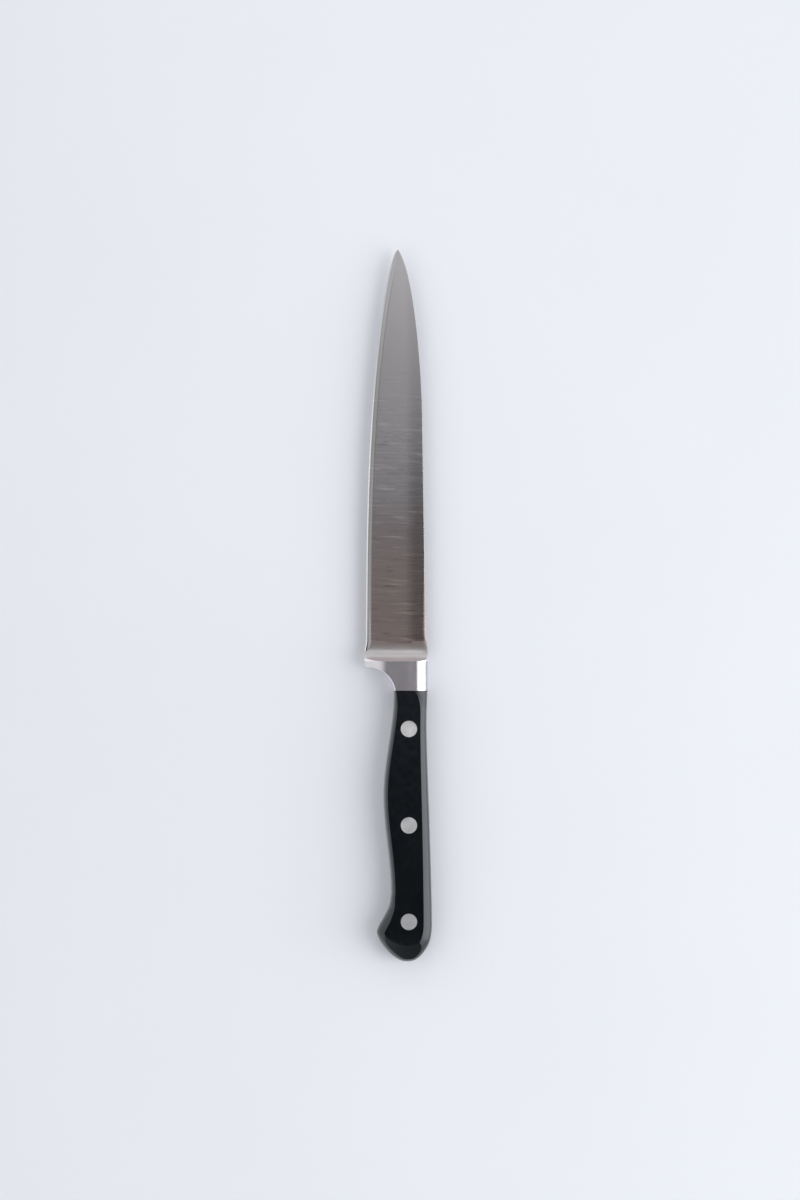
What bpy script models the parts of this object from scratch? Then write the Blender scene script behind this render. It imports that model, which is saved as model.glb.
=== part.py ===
"""Fillet knife lying on its side: a ground steel blank with a full tang, two bolster halves,
two handle scales and three two-piece rivets.

Every length is in metres. The knife is drawn on three datums and then set down on its right side:
Y runs towards the tip, from the back face of the bolster; depth runs towards the cutting edge (-X),
from the straight back of the bolster; height runs up (+Z), from the middle plane of the blank.
A point of an outline is (Y, depth). The finished model has its origin at the middle of its own
outline, on the surface it lies on.
"""

import math

import bmesh
import bpy
from mathutils import Vector
from mathutils.geometry import interpolate_bezier

MM = 0.001

# Play that parts which touch on the bench keep between them
FIT_GAP = 0.3 * MM

# Steel blank: outline of the blade
BLADE_LENGTH = 179.0 * MM
TIP_DEPTH = 13.4 * MM
TIP_WIDTH = 0.25 * MM
BACK_STEP = 0.75 * MM
BACK_RAMP_LENGTH = 6.0 * MM
BACK_FALL = 2.7 * MM
BACK_DROP_LENGTH = 75.7 * MM

# How full the two curves are that meet at the tip: a power of the way along, and a power of what is left
EDGE_FULLNESS = (2.4, 0.68)
BACK_FULLNESS = (2.0, 0.63)

# Steel blank: thicknesses and bevels
BLANK_THICKNESS = 2.0 * MM
SHOULDER_THICKNESS = 0.75 * MM
TIP_THICKNESS = 0.5 * MM
BEVEL_WIDTH = 2.2 * MM
WIDEST_BEVEL_SHARE = 0.4
FINE_EDGE_WIDTH = 0.6 * MM
FINE_EDGE_THICKNESS = 0.36 * MM
EDGE_THICKNESS = 0.06 * MM
EDGE_RUNOUT = 1.5 * MM

# Bolster. Its chin stands a little proud of the cutting edge, and is thinner than its flat sides
BOLSTER_FLAT_LENGTH = 13.0 * MM
COVE_RUN = 9.0 * MM
HEEL_TO_COVE_END = 5.0 * MM
CHIN_DEPTH = 28.1 * MM
CHIN_PROUD = 0.4 * MM
CHIN_BOTTOM = 9.9 * MM
CHIN_CORNER = 1.1 * MM
CHIN_SLOPE_WIDTH = 10.1 * MM
CHIN_DROP = 3.9 * MM
BOLSTER_LIP = 0.25 * MM
BOLSTER_BACK_ROUND = 6.3 * MM
BOLSTER_BELLY_ROUND = 1.8 * MM
CHIN_ROUND = 0.6 * MM

# Handle: outline
HANDLE_LENGTH = 120.5 * MM
GRIP_DEPTH = 15.1 * MM
SWELL_TOP = 46.5 * MM
SWELL_DEPTH = 19.6 * MM
WAIST_TO_BUTT = 30.5 * MM
WAIST_DEPTH = 16.2 * MM

# The butt, as distances from its end and depths: beak, round end, back corner
BUTT_CURVE = (
    (24.9 * MM, 17.1 * MM),
    (20.4 * MM, 19.2 * MM),
    (15.4 * MM, 21.9 * MM),
    (13.4 * MM, 22.6 * MM),
    (11.4 * MM, 22.2 * MM),
    (7.0 * MM, 19.7 * MM),
    (2.9 * MM, 15.8 * MM),
    (0.5 * MM, 11.8 * MM),
    (0.0 * MM, 8.8 * MM),
    (0.7 * MM, 5.5 * MM),
    (3.6 * MM, 2.1 * MM),
    (8.2 * MM, -0.7 * MM),
    (13.0 * MM, -1.8 * MM),
    (19.0 * MM, -2.0 * MM),
)

# The back of the handle, as distances from the bolster and depths: it dips, then rises to the butt
BACK_CURVE = (
    (62.0 * MM, -1.0 * MM),
    (36.0 * MM, -0.1 * MM),
    (14.0 * MM, 0.4 * MM),
)

# Handle: thickness, and the rounding from its flat sides to its outline
HANDLE_THICKNESS = 13.5 * MM
SIDE_WALL = 0.9 * MM
BACK_ROUND = 3.3 * MM
BACK_ROUND_AT_BUTT = 4.7 * MM
BELLY_ROUND = 2.2 * MM
BEAK_ROUND = 3.5 * MM
BUTT_ROUND = 2.8 * MM
ROUND_SETTLES = 13.0 * MM

# The butt's rounding points at a spot inside its end. The flat ends in an arc, some degrees to either side,
# and falls away to the butt
BUTT_MIDDLE = 8.5 * MM
BUTT_MIDDLE_DEPTH = 9.0 * MM
BUTT_TURN = 7.0 * MM
BUTT_FLAT_RADIUS = 14.0 * MM
BUTT_FLAT_END = 7.6 * MM
BUTT_FALL = 1.7 * MM
BUTT_FALL_SPREAD = 80

# Rivets, each a post pressed into a socket
RIVET_NAMES = ("front", "middle", "butt")
FRONT_RIVET = 17.0 * MM
RIVET_TO_BUTT = 17.9 * MM
RIVET_DEPTH = 8.3 * MM
HEAD_DIAMETER = 7.5 * MM
HEAD_THICKNESS = 2.2 * MM
SHANK_DIAMETER = 5.0 * MM
POST_DIAMETER = 2.8 * MM
SOCKET_OVERLAP = 2.0 * MM

# How finely curves are cut up
OUTLINE_STEP = 1.6 * MM
BLADE_STEPS = 44
SWEEP_STEPS = 22
ARC_STEPS = 12
ROUND_STEPS = 5
TURN_STEPS = 32
COVE_STEPS = 96

# Sizes that follow from the ones above
HALF_BLANK = BLANK_THICKNESS / 2
HALF_HANDLE = HANDLE_THICKNESS / 2
INNER_FACE = HALF_BLANK + FIT_GAP
WALL_TOP = INNER_FACE + SIDE_WALL
COVE_END = BOLSTER_FLAT_LENGTH + COVE_RUN
COVE_RISE = HALF_HANDLE - HALF_BLANK
COVE_RADIUS = (COVE_RUN**2 + COVE_RISE**2) / (2 * COVE_RISE)
COVE_AT_LIP = math.sqrt(COVE_RADIUS**2 - (COVE_RADIUS - FIT_GAP - BOLSTER_LIP) ** 2)
BOLSTER_FRONT = COVE_END - COVE_AT_LIP
HEEL = COVE_END - HEEL_TO_COVE_END
TIP = HEEL + BLADE_LENGTH
EDGE_DEPTH = CHIN_DEPTH - CHIN_PROUD
CHIN_SLOPE_START = CHIN_DEPTH - CHIN_SLOPE_WIDTH
CHIN_SLOPE_RADIUS = (CHIN_SLOPE_WIDTH**2 + CHIN_DROP**2) / (2 * CHIN_DROP)
FINGER_RADIUS = CHIN_DEPTH - CHIN_CORNER - GRIP_DEPTH
FINGER_START = CHIN_BOTTOM - FINGER_RADIUS
BUTT_FALL_RADIUS = (BUTT_FLAT_END**2 + BUTT_FALL**2) / (2 * BUTT_FALL)
BORE_DIAMETER = POST_DIAMETER + 2 * FIT_GAP
SHANK_HOLE = SHANK_DIAMETER + 2 * FIT_GAP
HEAD_HOLE = HEAD_DIAMETER + 2 * FIT_GAP


def smoothstep(share):
    share = min(max(share, 0.0), 1.0)
    return share * share * (3 - 2 * share)


def mix(first, second, share):
    return first + (second - first) * share


# Outline of the blade


def edge_depth(y):
    """Depth of the cutting edge, which runs out level at the heel and curves up to the tip."""
    power, left = EDGE_FULLNESS
    along = min(max((y - HEEL) / BLADE_LENGTH, 0.0), 1.0)
    depth = mix(TIP_DEPTH, EDGE_DEPTH, (1 - along**power) ** left)
    return mix(CHIN_DEPTH, depth, smoothstep((y - HEEL) / HEEL_TO_COVE_END))


def back_depth(y):
    """Depth of the blade's back: a ramp at the bolster, a long straight fall, then the drop to the tip."""
    power, left = BACK_FULLNESS
    step = BACK_STEP * smoothstep((y - BOLSTER_FRONT) / BACK_RAMP_LENGTH)
    straight = step + BACK_FALL * max((y - HEEL) / BLADE_LENGTH, 0.0)
    dropped = min(max(1 - (TIP - y) / BACK_DROP_LENGTH, 0.0), 1.0)
    return mix(straight, TIP_DEPTH - TIP_WIDTH, 1 - (1 - dropped**power) ** left)


# Outline of the bolster and the handle


def finger_arc(first_angle, last_angle, steps):
    """Points of the round hollow behind the chin, by angle: 0 at the handle, a right angle at the chin."""
    points = []
    for step in range(steps + 1):
        angle = mix(first_angle, last_angle, step / steps)
        y = FINGER_START + FINGER_RADIUS * math.sin(angle)
        points.append(Vector((y, GRIP_DEPTH + FINGER_RADIUS * (1 - math.cos(angle)))))
    return points


def finger_angle(y):
    """Where on that hollow the outline has this Y."""
    return math.asin(min(max((y - FINGER_START) / FINGER_RADIUS, 0.0), 1.0))


def chin_outline():
    """From the chin's bottom, round its corner, to the heel."""
    points = []
    for step in range(1, ROUND_STEPS + 1):
        angle = math.pi / 2 * step / ROUND_STEPS
        y = CHIN_BOTTOM + CHIN_CORNER * (1 - math.cos(angle))
        points.append(Vector((y, CHIN_DEPTH - CHIN_CORNER * (1 - math.sin(angle)))))
    return [*points, Vector((HEEL, CHIN_DEPTH))]


def sweep(start, end):
    """An S-shaped run from one (Y, depth) to another, level at both ends, without its last point."""
    points = []
    for step in range(SWEEP_STEPS):
        share = step / SWEEP_STEPS
        y = mix(start[0], end[0], share)
        points.append(Vector((y, mix(start[1], end[1], smoothstep(share)))))
    return points


def smooth_curve(points):
    """A curve through every point, made of cubic pieces that share their direction where they meet."""
    points = [Vector(point) for point in points]
    ways = []
    for before, point, after in zip([points[0], *points], points, [*points[1:], points[-1]]):
        ways.append((after - before) / ((point - before).length + (after - point).length))
    curve = []
    for start, end, start_way, end_way in zip(points, points[1:], ways, ways[1:]):
        reach = (end - start).length
        handles = start + start_way * reach / 3, end - end_way * reach / 3
        count = math.ceil(reach / OUTLINE_STEP) + 1
        curve += interpolate_bezier(start, *handles, end, count)[:-1]
    return [*curve, points[-1]]


def handle_outline(front):
    """The handle's outline from a Y at its front: down the belly, round the butt and up the back."""
    hollow = []
    if front > FINGER_START:
        hollow = finger_arc(finger_angle(front), 0.0, ROUND_STEPS)[:-1]
    grip = (min(front, FINGER_START), GRIP_DEPTH)
    swell = (-SWELL_TOP, SWELL_DEPTH)
    waist = (WAIST_TO_BUTT - HANDLE_LENGTH, WAIST_DEPTH)
    butt = [(distance - HANDLE_LENGTH, depth) for distance, depth in BUTT_CURVE]
    back = [(-distance, depth) for distance, depth in BACK_CURVE]
    round_the_butt = smooth_curve([waist, *butt, *back, (front, 0.0)])
    return [*hollow, *sweep(grip, swell), *sweep(swell, waist), *round_the_butt]


def resampled(points, count):
    """The same open outline with evenly spaced points, so that it can be matched to another one to one."""
    lengths = [0.0]
    for first, second in zip(points, points[1:]):
        lengths.append(lengths[-1] + (second - first).length)
    even = []
    place = 0
    for step in range(count):
        target = lengths[-1] * step / (count - 1)
        while place < len(lengths) - 2 and lengths[place + 1] < target:
            place += 1
        share = (target - lengths[place]) / (lengths[place + 1] - lengths[place])
        even.append(points[place].lerp(points[place + 1], share))
    return even


def inward(points):
    """The unit direction into the shape at each point of an outline, square to its neighbours' chord."""
    directions = []
    for before, after in zip([points[-1], *points[:-1]], [*points[1:], points[0]]):
        along = (after - before).normalized()
        directions.append(Vector((-along.y, along.x)))
    directions[0] = Vector((0.0, -1.0))
    directions[-1] = Vector((0.0, 1.0))
    return directions


# Making objects


def material(name, colour, roughness, metallic):
    made = bpy.data.materials.new(name)
    made.use_nodes = True
    shader = made.node_tree.nodes["Principled BSDF"]
    shader.inputs["Base Color"].default_value = (*colour, 1.0)
    shader.inputs["Roughness"].default_value = roughness
    shader.inputs["Metallic"].default_value = metallic
    made.diffuse_color = (*colour, 1.0)
    return made


def place(point, height):
    """A point (Y, depth) of an outline at a height, as a point in space."""
    return Vector((-point[1], point[0], height))


def mesh_object(name, rings, finish, sharp_angle=30):
    """A closed solid through rings of points that have the same count, with a flat face on each end."""
    bm = bmesh.new()
    loops = [[bm.verts.new(point) for point in ring] for ring in rings]
    count = len(loops[0])
    bm.faces.new(loops[0])
    bm.faces.new(reversed(loops[-1]))
    for lower, upper in zip(loops, loops[1:]):
        for i in range(count):
            j = (i + 1) % count
            bm.faces.new((lower[j], lower[i], upper[i], upper[j]))
    bmesh.ops.recalc_face_normals(bm, faces=bm.faces)
    mesh = bpy.data.meshes.new(name)
    bm.to_mesh(mesh)
    bm.free()
    mesh.shade_smooth()
    mesh.set_sharp_from_angle(angle=math.radians(sharp_angle))
    if finish:
        mesh.materials.append(finish)
    made = bpy.data.objects.new(name, mesh)
    made.parent = datum
    bpy.context.scene.collection.objects.link(made)
    return made


def turned(name, profile, finish=None):
    """A round solid from a profile of (radius, height) pairs, from its lowest face to its highest."""
    rings = []
    for radius, height in profile:
        ring = []
        for step in range(TURN_STEPS):
            angle = math.tau * step / TURN_STEPS
            ring.append(Vector((radius * math.cos(angle), radius * math.sin(angle), height)))
        rings.append(ring)
    return mesh_object(name, rings, finish)


def cut(target, cutter):
    """Takes the cutter's shape out of the target, and keeps the cutter as a hidden helper."""
    cutter.hide_render = True
    cutter.display_type = "WIRE"
    modifier = target.modifiers.new(f"cut_{cutter.name}", "BOOLEAN")
    modifier.operation = "DIFFERENCE"
    modifier.object = cutter


def round_steps():
    """A rounding's profile as (share of its width, height): a quarter ellipse from side wall to flat."""
    for step in range(ROUND_STEPS + 1):
        angle = math.pi / 2 * step / ROUND_STEPS
        yield 1 - math.cos(angle), mix(WALL_TOP, HALF_HANDLE, math.sin(angle))


# Steel blank


def face_height(point):
    """Half the blade's thickness at a point of its outline: each side is one flat ground plane."""
    across = (HALF_BLANK - SHOULDER_THICKNESS / 2) / (EDGE_DEPTH - BEVEL_WIDTH)
    at_tip = HALF_BLANK - across * TIP_DEPTH
    along = (at_tip - TIP_THICKNESS / 2) / (TIP - COVE_END)
    return HALF_BLANK - across * point[1] - along * (point[0] - COVE_END)


def blank_section(edge_point, back_point):
    """One cut through the blank, as a ring from its back down one side, round the edge and up the other."""
    y = edge_point[0]
    ground = smoothstep((y - BOLSTER_FRONT) / (COVE_END - BOLSTER_FRONT))
    sharp = smoothstep((y - HEEL) / EDGE_RUNOUT)
    width = (edge_point - back_point).length
    narrowing = min(1.0, WIDEST_BEVEL_SHARE * width / BEVEL_WIDTH)
    shoulder = edge_point.lerp(back_point, BEVEL_WIDTH * narrowing / width)
    fine_edge = edge_point.lerp(back_point, FINE_EDGE_WIDTH * narrowing / width)
    side = [
        (back_point, mix(HALF_BLANK, face_height(back_point), ground)),
        (shoulder, mix(HALF_BLANK, face_height(shoulder), ground)),
        (fine_edge, mix(HALF_BLANK, FINE_EDGE_THICKNESS / 2, sharp)),
        (edge_point, mix(HALF_BLANK, EDGE_THICKNESS / 2, sharp)),
    ]
    upper = [place(point, height) for point, height in side]
    lower = [place(point, -height) for point, height in reversed(side)]
    return upper + lower


def blank_outline():
    """Matched points along the edge side and the back of the whole blank, from the tip to the butt."""
    rows = []
    for step in range(BLADE_STEPS + 1):
        row = mix(HEEL, TIP, math.cos(math.pi / 2 * step / BLADE_STEPS))
        if row > COVE_END:
            rows.append(row)
    rows += [COVE_END, mix(BOLSTER_FRONT, COVE_END, 0.5), BOLSTER_FRONT]
    rows += [HEEL + EDGE_RUNOUT * share for share in (0.75, 0.5, 0.25)]
    edge = [Vector((row, edge_depth(row))) for row in rows]
    back = [Vector((row, back_depth(row))) for row in rows]
    chin = [*reversed(chin_outline()), *finger_arc(math.pi / 2, finger_angle(0.0), ARC_STEPS)]
    for step, point in enumerate(chin):
        edge.append(point)
        back.append(Vector((mix(HEEL, 0.0, step / (len(chin) - 1)), 0.0)))
    tang = handle_outline(0.0)
    butt_end = tang.index(min(tang, key=lambda point: point[0]))
    belly = tang[: butt_end + 1]
    edge += belly[1:]
    back += resampled(tang[:butt_end:-1], len(belly))[1:]
    return edge, back


def make_blank(finish):
    edge, back = blank_outline()
    rings = [blank_section(*pair) for pair in zip(edge, back)]
    blank = mesh_object("blade_and_tang", rings, finish, sharp_angle=4)
    radius = SHANK_HOLE / 2
    for name, y in rivet_places():
        profile = [(radius, -BLANK_THICKNESS), (radius, BLANK_THICKNESS)]
        hole = turned(f"{name}_tang_hole_cutter", profile)
        hole.location = place((y, RIVET_DEPTH), 0.0)
        cut(blank, hole)


# Handle scales


def rounding(point, direction, on_belly):
    """The way from an outline's point to the flat's edge: inward, or near the butt, to its middle."""
    y = point[0]
    middle = Vector((BUTT_MIDDLE - HANDLE_LENGTH, BUTT_MIDDLE_DEPTH))
    at_butt = smoothstep((middle[0] + BUTT_TURN - y) / BUTT_TURN)
    direction = direction.lerp((middle - point).normalized(), at_butt).normalized()
    if on_belly:
        at_beak = smoothstep((WAIST_TO_BUTT - HANDLE_LENGTH - y) / ROUND_SETTLES)
        start, width = BOLSTER_BELLY_ROUND, mix(BELLY_ROUND, BEAK_ROUND, at_beak)
    else:
        start, width = BOLSTER_BACK_ROUND, mix(BACK_ROUND, BACK_ROUND_AT_BUTT, -y / HANDLE_LENGTH)
    settled = 1 - (1 - min(-y / ROUND_SETTLES, 1.0)) ** 3
    facing_butt = max(0.0, direction[0]) ** 2
    return direction * mix(mix(start, width, settled), BUTT_ROUND, facing_butt)


def make_butt_cutter(name, side):
    """A bowed band over the end of the handle, which leaves its flat falling away to the butt past an arc."""
    past_end = 1.3 * BUTT_FLAT_END
    last_angle = math.asin(min(past_end / BUTT_FALL_RADIUS, 1.0))
    profile = []
    for step in range(ROUND_STEPS + 1):
        angle = last_angle * step / ROUND_STEPS
        radius = BUTT_FLAT_RADIUS + BUTT_FALL_RADIUS * math.sin(angle)
        profile.append((radius, HALF_HANDLE - BUTT_FALL_RADIUS * (1 - math.cos(angle))))
    profile += [(profile[-1][0], HANDLE_THICKNESS), (BUTT_FLAT_RADIUS, HANDLE_THICKNESS)]
    spread = math.radians(BUTT_FALL_SPREAD)
    rings = []
    for step in range(2 * ARC_STEPS + 1):
        angle = mix(-spread, spread, step / (2 * ARC_STEPS))
        across, along = math.sin(angle), -math.cos(angle)
        rings.append([Vector((radius * across, radius * along, side * height)) for radius, height in profile])
    cutter = mesh_object(f"{name}_butt_cutter", rings, None)
    centre = (BUTT_FLAT_END + BUTT_FLAT_RADIUS - HANDLE_LENGTH, BUTT_MIDDLE_DEPTH)
    cutter.location = place(centre, 0.0)
    return cutter


def make_scale(name, side, finish):
    """One scale. Side is 1 for the left scale, which is uppermost here, and -1 for the right."""
    outline = handle_outline(-FIT_GAP)
    butt_end = outline.index(min(outline, key=lambda point: point[0]))
    roundings = []
    for i, (point, direction) in enumerate(zip(outline, inward(outline))):
        roundings.append(rounding(point, direction, i <= butt_end))
    rings = [[place(point, side * INNER_FACE) for point in outline]]
    for share, height in round_steps():
        pairs = zip(outline, roundings)
        rings.append([place(point + way * share, side * height) for point, way in pairs])
    scale = mesh_object(name, rings, finish)
    cut(scale, make_butt_cutter(name, side))
    seat = HALF_HANDLE - HEAD_THICKNESS - FIT_GAP
    for rivet, y in rivet_places():
        profile = [
            (SHANK_HOLE / 2, 0.0),
            (SHANK_HOLE / 2, seat),
            (HEAD_HOLE / 2, seat),
            (HEAD_HOLE / 2, HANDLE_THICKNESS),
        ]
        hole = turned(f"{rivet}_{name}_hole_cutter", profile)
        hole.location = place((y, RIVET_DEPTH), 0.0)
        hole.rotation_euler.x = 0.0 if side > 0 else math.pi
        cut(scale, hole)


# Bolster halves


def bolster_section():
    """The bolster's cut across the knife: rounded back, flat side, then the slope of the chin."""
    profile = [(0.0, INNER_FACE)]
    for share, height in round_steps():
        profile.append((BOLSTER_BACK_ROUND * share, height))
    past_chin = CHIN_DEPTH + 2 * FIT_GAP
    for step in range(2 * ROUND_STEPS + 1):
        depth = mix(CHIN_SLOPE_START, past_chin, step / (2 * ROUND_STEPS))
        level = math.sqrt(CHIN_SLOPE_RADIUS**2 - (depth - CHIN_SLOPE_START) ** 2)
        profile.append((depth, HALF_HANDLE - CHIN_SLOPE_RADIUS + level))
    return [*profile, (past_chin, INNER_FACE)]


def make_belly_cutter(name, side):
    """The block that leaves the finger hollow and the chin, with a rounded rim, clear of the bevel."""
    past = CHIN_CORNER + BEVEL_WIDTH
    clear_of_bevel = EDGE_DEPTH - BEVEL_WIDTH - FIT_GAP
    curve = [
        Vector((BOLSTER_FRONT + past, clear_of_bevel)),
        Vector((BOLSTER_FRONT, clear_of_bevel)),
        *reversed(chin_outline()),
        *finger_arc(math.pi / 2, 0.0, ARC_STEPS),
        Vector((FINGER_START - past, GRIP_DEPTH)),
    ]
    roundings = []
    for point, direction in zip(curve, inward(curve)):
        at_chin = smoothstep((point[1] - GRIP_DEPTH) / FINGER_RADIUS)
        roundings.append(direction * mix(BOLSTER_BELLY_ROUND, CHIN_ROUND, at_chin))
    outside = [Vector((curve[-1][0], CHIN_DEPTH + past)), Vector((curve[0][0], CHIN_DEPTH + past))]
    rings = []
    for share, height in [(0.0, 0.0), *round_steps(), (1.0, HANDLE_THICKNESS)]:
        inside = [point + way * share for point, way in zip(curve, roundings)]
        rings.append([place(point, side * height) for point in inside + outside])
    return mesh_object(f"{name}_belly_cutter", rings, None)


def make_cove_cutter(name, side):
    """A long bar whose round side leaves the cove between the bolster's flat and the blade."""
    half_length = 1.5 * CHIN_DEPTH
    rings = []
    for x in (half_length, -half_length):
        ring = []
        for step in range(COVE_STEPS):
            angle = math.tau * step / COVE_STEPS
            ring.append(Vector((x, COVE_RADIUS * math.cos(angle), COVE_RADIUS * math.sin(angle))))
        rings.append(ring)
    cutter = mesh_object(f"{name}_cove_cutter", rings, None)
    cutter.location = place((COVE_END, CHIN_DEPTH / 2), side * (HALF_BLANK + COVE_RADIUS))
    return cutter


def make_bolster(name, side, finish):
    rings = []
    for y in (0.0, BOLSTER_FRONT):
        rings.append([place((y, depth), side * height) for depth, height in bolster_section()])
    bolster = mesh_object(name, rings, finish)
    cut(bolster, make_belly_cutter(name, side))
    cut(bolster, make_cove_cutter(name, side))


# Rivets


def rivet_places():
    """(name, Y) of each rivet, evenly spaced between the first and the last."""
    last = RIVET_TO_BUTT - HANDLE_LENGTH
    for i, name in enumerate(RIVET_NAMES):
        yield name, mix(-FRONT_RIVET, last, i / (len(RIVET_NAMES) - 1))


def make_rivets(finish):
    """Each rivet's post has its head in the left scale, and its socket has its head in the right one."""
    head_inside = HALF_HANDLE - HEAD_THICKNESS
    socket_mouth = HALF_BLANK + SOCKET_OVERLAP
    post = [
        (POST_DIAMETER / 2, FIT_GAP - head_inside),
        (POST_DIAMETER / 2, head_inside),
        (HEAD_DIAMETER / 2, head_inside),
        (HEAD_DIAMETER / 2, HALF_HANDLE),
    ]
    socket = [
        (HEAD_DIAMETER / 2, -HALF_HANDLE),
        (HEAD_DIAMETER / 2, -head_inside),
        (SHANK_DIAMETER / 2, -head_inside),
        (SHANK_DIAMETER / 2, socket_mouth),
        (BORE_DIAMETER / 2, socket_mouth),
        (BORE_DIAMETER / 2, -head_inside),
    ]
    for name, y in rivet_places():
        for half, profile in (("post", post), ("socket", socket)):
            rivet = turned(f"{name}_rivet_{half}", profile, finish)
            rivet.location = place((y, RIVET_DEPTH), 0.0)


# Assembly

for old in list(bpy.data.objects):
    bpy.data.objects.remove(old, do_unlink=True)

outline_points = [point for line in blank_outline() for point in line]
ys = [point[0] for point in outline_points]
depths = [point[1] for point in outline_points]
middle_of_outline = ((min(ys) + max(ys)) / 2, (min(depths) + max(depths)) / 2)

datum = bpy.data.objects.new("knife_datum", None)
datum.location = HALF_HANDLE * Vector((0, 0, 1)) - place(middle_of_outline, 0.0)
bpy.context.scene.collection.objects.link(datum)

blade_steel = material("blade_steel", (0.42, 0.41, 0.41), 0.35, 1.0)
bolster_steel = material("bolster_steel", (0.62, 0.61, 0.61), 0.16, 1.0)
handle_resin = material("handle_resin", (0.012, 0.012, 0.014), 0.32, 0.0)
rivet_steel = material("rivet_steel", (0.60, 0.60, 0.60), 0.30, 1.0)

make_blank(blade_steel)
make_bolster("left_bolster", 1, bolster_steel)
make_bolster("right_bolster", -1, bolster_steel)
make_scale("left_scale", 1, handle_resin)
make_scale("right_scale", -1, handle_resin)
make_rivets(rivet_steel)
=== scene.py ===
# %% [markdown]
# # Dressing a riveted fillet knife
# The knife lies on its right side and is seen from straight above. Its frame is a set of exact but plain
# solids: a steel blank, two bolster halves, two handle scales and three rivets in two halves each. Each of
# them gets a finely meshed piece of the same size in the same place, with its own finish. All is drawn in
# millimetres and turned into metres when a mesh is made.

# %% Load the frame
import math
from functools import partial

import bmesh
import bpy
import numpy as np
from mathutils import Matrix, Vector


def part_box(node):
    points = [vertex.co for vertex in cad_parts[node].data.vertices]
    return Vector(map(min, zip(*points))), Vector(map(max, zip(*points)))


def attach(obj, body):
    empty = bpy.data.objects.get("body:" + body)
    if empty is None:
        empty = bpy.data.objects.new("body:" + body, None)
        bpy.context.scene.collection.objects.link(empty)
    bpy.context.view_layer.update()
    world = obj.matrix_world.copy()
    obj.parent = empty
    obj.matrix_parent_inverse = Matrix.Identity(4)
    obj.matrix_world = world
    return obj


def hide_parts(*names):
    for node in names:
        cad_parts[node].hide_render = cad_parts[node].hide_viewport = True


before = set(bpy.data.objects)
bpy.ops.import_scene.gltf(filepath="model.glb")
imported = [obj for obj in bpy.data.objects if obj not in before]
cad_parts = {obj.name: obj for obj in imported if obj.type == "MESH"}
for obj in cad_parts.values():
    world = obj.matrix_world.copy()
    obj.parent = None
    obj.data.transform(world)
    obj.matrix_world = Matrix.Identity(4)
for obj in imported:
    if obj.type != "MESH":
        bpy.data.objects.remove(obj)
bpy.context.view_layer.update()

MM = 0.001

# %% [markdown]
# ## Where things are
# The frame's own boxes give the few planes that everything is drawn from: the middle of the steel blank,
# the joint between bolster and handle, and the straight back. A real knife maker works from the same ones.

# %% Planes measured on the frame


def low(node, axis):
    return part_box(node)[0][axis] / MM


def high(node, axis):
    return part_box(node)[1][axis] / MM


MIDDLE = (low("blade_and_tang", 2) + high("blade_and_tang", 2)) / 2
HALF_BLANK = high("blade_and_tang", 2) - MIDDLE
HALF_HANDLE = high("left_scale", 2) - MIDDLE
JOINT = low("left_bolster", 1)
BACK = high("left_bolster", 0)
CHIN = low("left_bolster", 0)
BUTT = low("blade_and_tang", 1)
TIP = high("blade_and_tang", 1)
HANDLE_LENGTH = JOINT - BUTT
print(f"middle {MIDDLE:.2f}, joint {JOINT:.2f}, back {BACK:.2f}, butt {BUTT:.2f}, tip {TIP:.2f}")

# %% [markdown]
# ## The camera
# The photograph looks straight down on the knife from well above. A long lens keeps the top of the handle,
# which is nearer, at the same scale as the blade.

# %% Camera
MM_PER_PIXEL = 0.445
IMAGE_HEIGHT = 1200
CAMERA_ABOVE = 2000.0
VIEW_CENTRE = (0.8, 2.45)
SENSOR = 36

camera = bpy.data.objects.new("camera", bpy.data.cameras.new("camera"))
bpy.context.scene.collection.objects.link(camera)
camera.location = (VIEW_CENTRE[0] * MM, VIEW_CENTRE[1] * MM, (MIDDLE + CAMERA_ABOVE) * MM)
camera.data.sensor_width = SENSOR
camera.data.lens = SENSOR * CAMERA_ABOVE / (IMAGE_HEIGHT * MM_PER_PIXEL)
camera.data.clip_start = 0.05
bpy.context.scene.camera = camera
print("lens", round(camera.data.lens, 1), "mm at", CAMERA_ABOVE, "mm")

# %% [markdown]
# ## Small helpers
# Some arithmetic comes back in every piece: an easing from 0 to 1, a blend, the angles of a quarter turn,
# ways made one millimetre long, and a smooth curve through the corners of the frame's polygons, which makes
# them round again.

# %% Easing, blending and smooth curves
CUTS_BETWEEN = 12


def ease(share):
    share = np.clip(share, 0.0, 1.0)
    return share * share * (3 - 2 * share)


def mix(first, second, share):
    return first + (second - first) * share


def quarter(count):
    """Angles from 0 to a quarter turn."""
    return np.linspace(0, math.pi / 2, count)


def unit(ways):
    """The same ways, each one millimetre long."""
    return ways / np.linalg.norm(ways, axis=1)[:, None]


def smooth(knots, values, at):
    """Cubic curves through values at rising knots, joined without a kink."""
    slopes = np.gradient(values, knots, axis=0)
    i = np.clip(np.searchsorted(knots, at, side="right") - 1, 0, len(knots) - 2)
    step = knots[i + 1] - knots[i]
    s = (at - knots[i]) / step
    if values.ndim > 1:
        shape = (-1,) + (1,) * (values.ndim - 1)
        s, step = s.reshape(shape), step.reshape(shape)
    start = values[i] * (2 * s**3 - 3 * s**2 + 1) + slopes[i] * step * (s**3 - 2 * s**2 + s)
    return start + values[i + 1] * (3 * s**2 - 2 * s**3) + slopes[i + 1] * step * (s**3 - s**2)


def distances(points):
    return np.concatenate([[0.0], np.cumsum(np.linalg.norm(np.diff(points, axis=0), axis=1))])


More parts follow.
